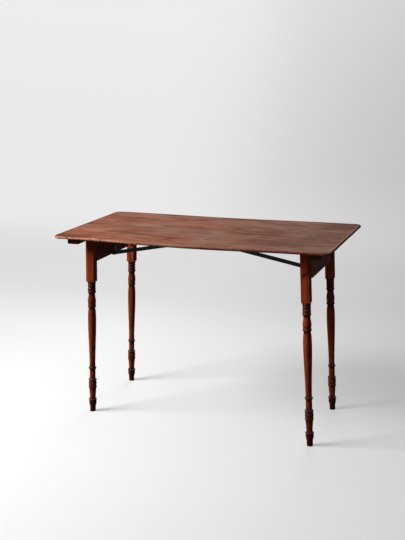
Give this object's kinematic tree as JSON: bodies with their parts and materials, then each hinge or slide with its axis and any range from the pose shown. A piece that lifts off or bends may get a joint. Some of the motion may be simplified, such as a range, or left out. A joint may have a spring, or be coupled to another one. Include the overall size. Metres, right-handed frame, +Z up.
{
  "type": "folding sewing table",
  "caption": "Low wooden folding table with turned, splayed legs on hinged frames that fold flat under a thin top, held open by iron braces.",
  "frame": {"origin": "on the floor, under the middle of the top", "axes": "+X along the length of the top to the right, +Y to the back, +Z up"},
  "size_m": [0.9144, 0.4826, 0.635],
  "materials": {
    "top_wood": "faded, worn stain",
    "leg_wood": "red-brown stain, satin",
    "apron_wood": "dark stain, satin",
    "batten_wood": "dark stain, satin",
    "black_iron": "blackened",
    "hinge_steel": "darkened",
    "screw_steel": "worn"
  },
  "bodies": {
    "top": {"table_top": "top_wood", "left_batten": "batten_wood", "right_batten": "batten_wood", "left_batten_screw_1": "screw_steel", "left_batten_screw_2": "screw_steel", "left_batten_screw_3": "screw_steel", "left_batten_screw_4": "screw_steel", "right_batten_screw_1": "screw_steel", "right_batten_screw_2": "screw_steel", "right_batten_screw_3": "screw_steel", "right_batten_screw_4": "screw_steel", "left_front_hinge_top_leaf": "hinge_steel", "left_front_hinge_pin": "screw_steel", "left_back_hinge_top_leaf": "hinge_steel", "left_back_hinge_pin": "screw_steel", "right_front_hinge_top_leaf": "hinge_steel", "right_front_hinge_pin": "screw_steel", "right_back_hinge_top_leaf": "hinge_steel", "right_back_hinge_pin": "screw_steel", "left_brace_catch": "black_iron", "right_brace_catch": "black_iron", "left_catch_screw_1": "screw_steel", "left_catch_screw_2": "screw_steel", "right_catch_screw_1": "screw_steel", "right_catch_screw_2": "screw_steel"},
    "left_frame": {"left_front_leg": "leg_wood", "left_back_leg": "leg_wood", "left_apron": "apron_wood", "left_front_hinge_apron_leaf": "hinge_steel", "left_back_hinge_apron_leaf": "hinge_steel", "left_brace_bracket": "black_iron", "left_brace_rivet": "screw_steel", "left_bracket_screw_1": "screw_steel", "left_bracket_screw_2": "screw_steel"},
    "right_frame": {"right_front_leg": "leg_wood", "right_back_leg": "leg_wood", "right_apron": "apron_wood", "right_front_hinge_apron_leaf": "hinge_steel", "right_back_hinge_apron_leaf": "hinge_steel", "right_brace_bracket": "black_iron", "right_brace_rivet": "screw_steel", "right_bracket_screw_1": "screw_steel", "right_bracket_screw_2": "screw_steel"},
    "left_brace": {"left_brace_bar": "black_iron"},
    "right_brace": {"right_brace_bar": "black_iron"}
  },
  "joints": [
    {"name": "left_fold", "type": "hinge", "parent": "top", "child": "left_frame", "pos_m": [-0.3562, 0.0183, 0.623], "axis": [0, -1, 0], "range_deg": [0, 92.1]},
    {"name": "right_fold", "type": "hinge", "parent": "top", "child": "right_frame", "pos_m": [0.3562, -0.0183, 0.623], "axis": [0, 1, 0], "range_deg": [0, 92.1]},
    {"name": "left_brace_swing", "type": "hinge", "parent": "left_frame", "child": "left_brace", "pos_m": [-0.36863, 0.0183, 0.52964], "axis": [0, 1, 0], "range_deg": [0, 103.71]},
    {"name": "right_brace_swing", "type": "hinge", "parent": "right_frame", "child": "right_brace", "pos_m": [0.36863, -0.0183, 0.52964], "axis": [0, -1, 0], "range_deg": [0, 103.71]}
  ],
  "couplings": [
    {"joint": "left_brace_swing", "follows": "left_fold", "ratio": 1.126},
    {"joint": "right_brace_swing", "follows": "right_fold", "ratio": 1.126}
  ]
}
